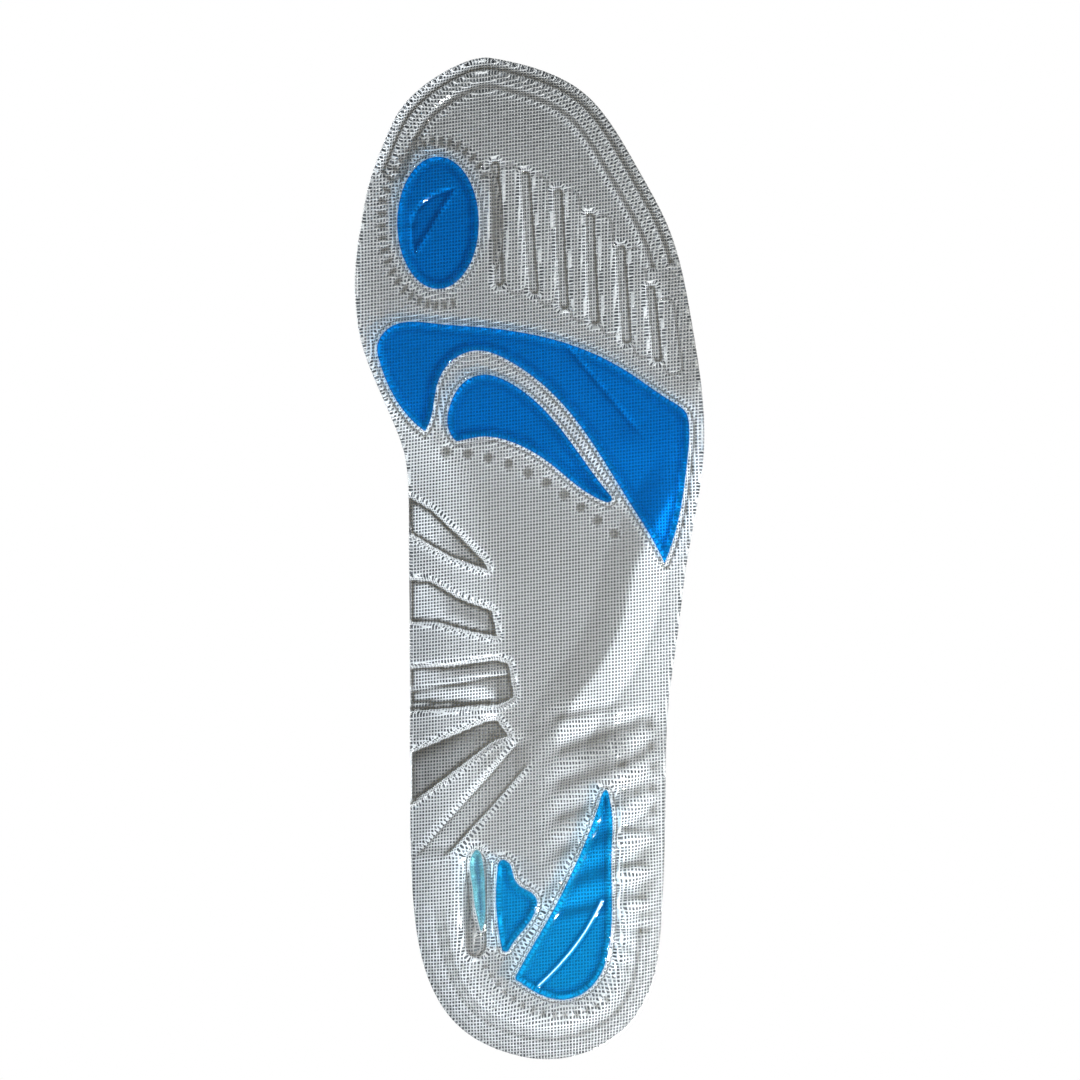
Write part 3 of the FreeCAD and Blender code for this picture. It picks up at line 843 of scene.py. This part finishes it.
class Nodes:
    """A short way to write a node material."""

    def __init__(self, name):
        self.material = bpy.data.materials.new(name)
        self.material.use_nodes = True
        self.tree = self.material.node_tree
        self.tree.nodes.clear()

    def add(self, kind, settings=None, **inputs):
        node = self.tree.nodes.new(kind)
        for key, value in (settings or {}).items():
            setattr(node, key, value)
        for key, value in inputs.items():
            socket = node.inputs[key.replace("_", " ")]
            if isinstance(value, bpy.types.NodeSocket):
                self.tree.links.new(value, socket)
            else:
                socket.default_value = value
        return node

    def link(self, output, socket):
        self.tree.links.new(output, socket)

    def object_place(self):
        return self.add("ShaderNodeTexCoord").outputs["Object"]

    def blend(self, share, first, second):
        """A colour that goes from the first to the second, each a colour or a node's output."""
        node = self.add("ShaderNodeMix", {"data_type": "RGBA"})
        self.link(share, node.inputs[0])
        for socket, value in ((node.inputs[6], first), (node.inputs[7], second)):
            if isinstance(value, bpy.types.NodeSocket):
                self.link(value, socket)
            else:
                socket.default_value = (*value, 1)
        return node.outputs[2]

    def ranged(self, value, source, target, settings=None):
        """A value moved from the source range to the target range."""
        node = self.add("ShaderNodeMapRange", settings, Value=value)
        node.inputs["From Min"].default_value, node.inputs["From Max"].default_value = source
        node.inputs["To Min"].default_value, node.inputs["To Max"].default_value = target
        return node.outputs["Result"]

    def ramp(self, value, *stops):
        """A colour for each value: each stop is a position and its colour."""
        node = self.add("ShaderNodeValToRGB", Fac=value)
        for element, (position, color) in zip(node.color_ramp.elements, stops):
            element.position = position
            element.color = (*color, 1)
        return node.outputs[0]

    def product(self, first, second):
        node = self.add("ShaderNodeMath", {"operation": "MULTIPLY"})
        self.link(first, node.inputs[0])
        self.link(second, node.inputs[1])
        return node.outputs[0]

    def attribute(self, name):
        return self.add("ShaderNodeAttribute", {"attribute_name": name}).outputs["Fac"]

    def either(self, share, first, second):
        """The first shader where the share is nought and the second where it is one."""
        node = self.add("ShaderNodeMixShader")
        for socket, output in zip(node.inputs, (share, first, second)):
            self.link(output, socket)
        return node.outputs[0]

    def finish(self, shader):
        out = self.tree.nodes.new("ShaderNodeOutputMaterial")
        self.tree.links.new(shader, out.inputs["Surface"])
        return self.material


def let_light_through(nodes, shader, tint):
    """Lamps shine straight through the gel, which tints their light."""
    clear = nodes.add("ShaderNodeBsdfTransparent", Color=(*tint, 1))
    path = nodes.add("ShaderNodeLightPath")
    return nodes.either(path.outputs["Is Shadow Ray"], shader, clear.outputs[0])


def clear_gel_material():
    """Clear, glossy gel with a slightly wavy skin."""
    nodes = Nodes("clear_gel")
    waves = nodes.add("ShaderNodeTexNoise", Vector=nodes.object_place(), Scale=260.0, Detail=2.0)
    bump = nodes.add("ShaderNodeBump", Height=waves.outputs["Fac"], Strength=0.12, Distance=0.4 * MM)
    gel = nodes.add("ShaderNodeBsdfPrincipled", Normal=bump.outputs[0])
    gel.inputs["Base Color"].default_value = (0.95, 0.97, 0.98, 1)
    gel.inputs["Roughness"].default_value = 0.03
    gel.inputs["IOR"].default_value = GEL_IOR
    gel.inputs["Transmission Weight"].default_value = 1.0
    return nodes.finish(let_light_through(nodes, gel.outputs[0], (0.95, 0.97, 0.98)))


def blue_gel_material(name, color, clarity, shade):
    """Blue gel, with painted light and shade from its shape and a less clear, painted white highlight on the
    heel pad's ridge.
    """
    nodes = Nodes(name)
    waves = nodes.add("ShaderNodeTexNoise", Vector=nodes.object_place(), Scale=180.0, Detail=2.0)
    bump = nodes.add("ShaderNodeBump", Height=waves.outputs["Fac"], Strength=0.1, Distance=0.4 * MM)
    # Painted shade and painted light: the same blue from 0.45 to 1.55 times as bright, blended by the painted
    # light attribute and not by the gel's depth.
    darkest = [0.45 * c for c in color]
    lightest = [min(1, 1.55 * c) for c in color]
    depth = nodes.blend(nodes.attribute("painted_light"), darkest, lightest)
    seam_highlight = nodes.attribute("seam_highlight")
    # The pale colour along the heel pad's raised line is a painted highlight.
    tone = nodes.blend(seam_highlight, depth, (0.85, 0.93, 0.97))
    gel = nodes.add("ShaderNodeBsdfPrincipled", Normal=bump.outputs[0], Base_Color=tone)
    nodes.link(nodes.ranged(seam_highlight, (0, 1), (clarity, 0.1)), gel.inputs["Transmission Weight"])
    gel.inputs["Roughness"].default_value = 0.06
    gel.inputs["IOR"].default_value = GEL_IOR
    return nodes.finish(let_light_through(nodes, gel.outputs[0], shade))


def thread_material():
    """White fibres, with the light and shade from the gel in front of them painted into their colour."""
    nodes = Nodes("white_thread")
    fibres = nodes.add("ShaderNodeTexNoise", Vector=nodes.object_place(), Scale=5200.0, Detail=2.0)
    tone = nodes.ramp(fibres.outputs["Fac"], (0, (0.62, 0.64, 0.66)), (1, (0.9, 0.91, 0.92)))
    # Painted shade is warm: the threads' colour goes to this near-black brown where the painted light is low.
    lit = nodes.blend(nodes.attribute("painted_light"), (0.042, 0.028, 0.0), tone)
    bump = nodes.add("ShaderNodeBump", Height=fibres.outputs["Fac"], Strength=0.3, Distance=0.05 * MM)
    thread = nodes.add("ShaderNodeBsdfPrincipled", Base_Color=lit, Normal=bump.outputs[0])
    thread.inputs["Roughness"].default_value = 0.6
    thread.inputs["Sheen Weight"].default_value = 0.2
    return nodes.finish(thread.outputs[0])


def cloth_material():
    """Dark cloth with a fine cross weave, a short nap and soft lighter and darker patches.
    Its dark tone is partly its own colour and partly painted shade, for the shade in the weave's gaps.
    """
    nodes = Nodes("grey_cloth")
    place = nodes.object_place()
    across, along = [
        nodes.add("ShaderNodeTexWave", {"bands_direction": axis}, Vector=place, Scale=CLOTH_ROWS,
                  Distortion=0.6, Detail=1.0).outputs["Fac"]
        for axis in "XY"
    ]
    nap = nodes.add("ShaderNodeTexNoise", Vector=place, Scale=2600.0, Detail=4.0)
    patches = nodes.add("ShaderNodeTexNoise", Vector=place, Scale=55.0, Detail=3.0)
    tufts = nodes.add("ShaderNodeMix", {"data_type": "FLOAT"})
    tufts.inputs[0].default_value = 0.45
    nodes.link(nodes.product(across, along), tufts.inputs[2])
    nodes.link(nap.outputs["Fac"], tufts.inputs[3])
    tone = nodes.ramp(tufts.outputs[0], (0.15, (0.025, 0.027, 0.03)), (0.75, (0.17, 0.178, 0.19)))
    patched = nodes.add("ShaderNodeVectorMath", {"operation": "SCALE"})
    nodes.link(tone, patched.inputs[0])
    nodes.link(nodes.ranged(patches.outputs["Fac"], (0.3, 0.7), (0.75, 1.2)), patched.inputs["Scale"])
    bump = nodes.add("ShaderNodeBump", Height=tufts.outputs[0], Strength=0.6, Distance=0.3 * MM)
    cloth = nodes.add("ShaderNodeBsdfPrincipled", Base_Color=patched.outputs[0], Normal=bump.outputs[0])
    cloth.inputs["Roughness"].default_value = 0.9
    cloth.inputs["Sheen Weight"].default_value = 0.4
    return nodes.finish(cloth.outputs[0])


def dress(piece, material):
    """Give a piece its material, and let it move with the insole."""
    piece.data.materials.clear()
    piece.data.materials.append(material)
    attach(piece, "root")


# ---------------------------------------------------------------- the studio

def camera():
    """Straight below the insole, looking up, with the toe at the top of the picture."""
    made = bpy.data.objects.new("camera", bpy.data.cameras.new("camera"))
    bpy.context.scene.collection.objects.link(made)
    made.data.lens = 200
    distance = PICTURE_HEIGHT * insole_size.y * made.data.lens / made.data.sensor_width
    aim = insole_middle + Vector((AIM[0] * insole_size.x, AIM[1] * insole_size.y, 0))
    made.location = (aim.x, aim.y, cad_low.z - distance)
    made.rotation_euler = (0, math.pi, 0)
    made.data.clip_start, made.data.clip_end = 0.1, 20
    bpy.context.scene.camera = made


def floor():
    """A pale floor under the insole, which fades out into the background at a distance.

    It shows only from above, and it keeps no light from the underside.
    """
    size, height = 6.0, cad_low.z - 0.3 * MM
    corners = [(-size, -size), (size, -size), (size, size), (-size, size)]
    made = new_object("floor", [(x, y, height) for x, y in corners], [[0, 1, 2, 3]])
    nodes = Nodes("floor")
    pale = nodes.add("ShaderNodeBsdfDiffuse", Color=(0.82, 0.82, 0.81, 1))
    clear = nodes.add("ShaderNodeBsdfTransparent")
    path = nodes.add("ShaderNodeLightPath")
    geometry = nodes.add("ShaderNodeNewGeometry")
    from_above = nodes.add("ShaderNodeMath", {"operation": "SUBTRACT"})
    from_above.inputs[0].default_value = 1.0
    nodes.link(geometry.outputs["Backfacing"], from_above.inputs[1])
    away = nodes.add("ShaderNodeVectorMath", {"operation": "LENGTH"}, Vector=geometry.outputs["Position"])
    near = nodes.ranged(away.outputs["Value"], (0.35, 1.3), (1, 0), {"interpolation_type": "SMOOTHSTEP"})
    seen = nodes.product(from_above.outputs[0], path.outputs["Is Camera Ray"])
    shader = nodes.either(nodes.product(seen, near), clear.outputs[0], pale.outputs[0])
    made.data.materials.append(nodes.finish(shader))


def softbox(name, place, size, power, color=(1, 1, 1), mirrored=True):
    """A lamp that faces the insole. The camera doesn't see it, and its mirror image can be left out."""
    lamp = bpy.data.lights.new(name, "AREA")
    lamp.shape = "RECTANGLE"
    lamp.size, lamp.size_y = size
    lamp.energy = power
    lamp.color = color
    made = bpy.data.objects.new(name, lamp)
    bpy.context.scene.collection.objects.link(made)
    made.location = place
    made.rotation_euler = (insole_middle - Vector(place)).to_track_quat("-Z", "Y").to_euler()
    made.visible_camera = False
    made.visible_glossy = mirrored
    made.visible_transmission = False


def lights():
    """A white background that gives little light, and lamps below and above the insole."""
    world = bpy.data.worlds.new("studio")
    bpy.context.scene.world = world
    world.use_nodes = True
    tree = world.node_tree
    tree.nodes.clear()
    light = tree.nodes.new("ShaderNodeBackground")
    light.inputs["Color"].default_value = (1, 1, 1, 1)
    light.inputs["Strength"].default_value = 0.06
    seen = tree.nodes.new("ShaderNodeBackground")
    seen.inputs["Color"].default_value = (1, 1, 1, 1)
    path = tree.nodes.new("ShaderNodeLightPath")
    mix = tree.nodes.new("ShaderNodeMixShader")
    out = tree.nodes.new("ShaderNodeOutputWorld")
    tree.links.new(path.outputs["Is Camera Ray"], mix.inputs[0])
    tree.links.new(light.outputs[0], mix.inputs[1])
    tree.links.new(seen.outputs[0], mix.inputs[2])
    tree.links.new(mix.outputs[0], out.inputs["Surface"])
    softbox("key_below", (-0.20, -0.17, -0.28), (0.03, 0.03), 2.2, (1.0, 0.99, 0.97))
    softbox("fill_arch", (0.24, -0.10, -0.29), (0.2, 0.2), 1.6, (0.94, 0.97, 1.0), mirrored=False)
    softbox("fill_below", (-0.14, 0.08, -0.32), (0.2, 0.2), 0.6, (0.94, 0.97, 1.0), mirrored=False)
    softbox("glint", (0.20, 0.30, -0.40), (0.012, 0.012), 0.15)
    softbox("key_above", (-0.7, -0.8, 1.1), (0.8, 0.8), 19)
    softbox("fill_above", (0.9, 0.4, 0.9), (1.0, 1.0), 9)
    bpy.context.scene.view_settings.view_transform = "Standard"


camera()
floor()
lights()

dress(gel_body(), clear_gel_material())
deep_blue = blue_gel_material("blue_gel", (0.001, 0.265, 0.86), 0.92, (0.7, 0.85, 0.99))
pale_blue = blue_gel_material("pale_blue_gel", (0.007, 0.36, 0.92), 0.9, (0.8, 0.92, 1.0))
faint_blue = blue_gel_material("faint_blue_gel", (0.25, 0.6, 0.98), 0.9, (0.9, 0.96, 1.0))
for node in PAD_NODES:
    pad = gel_pad(node)
    heel = node.startswith("heel")
    dress(pad, faint_blue if node == "heel_medial_pad" else pale_blue if heel else deep_blue)
thread = thread_material()
for piece in weave():
    dress(piece, thread)
dress(top_cover(), cloth_material())
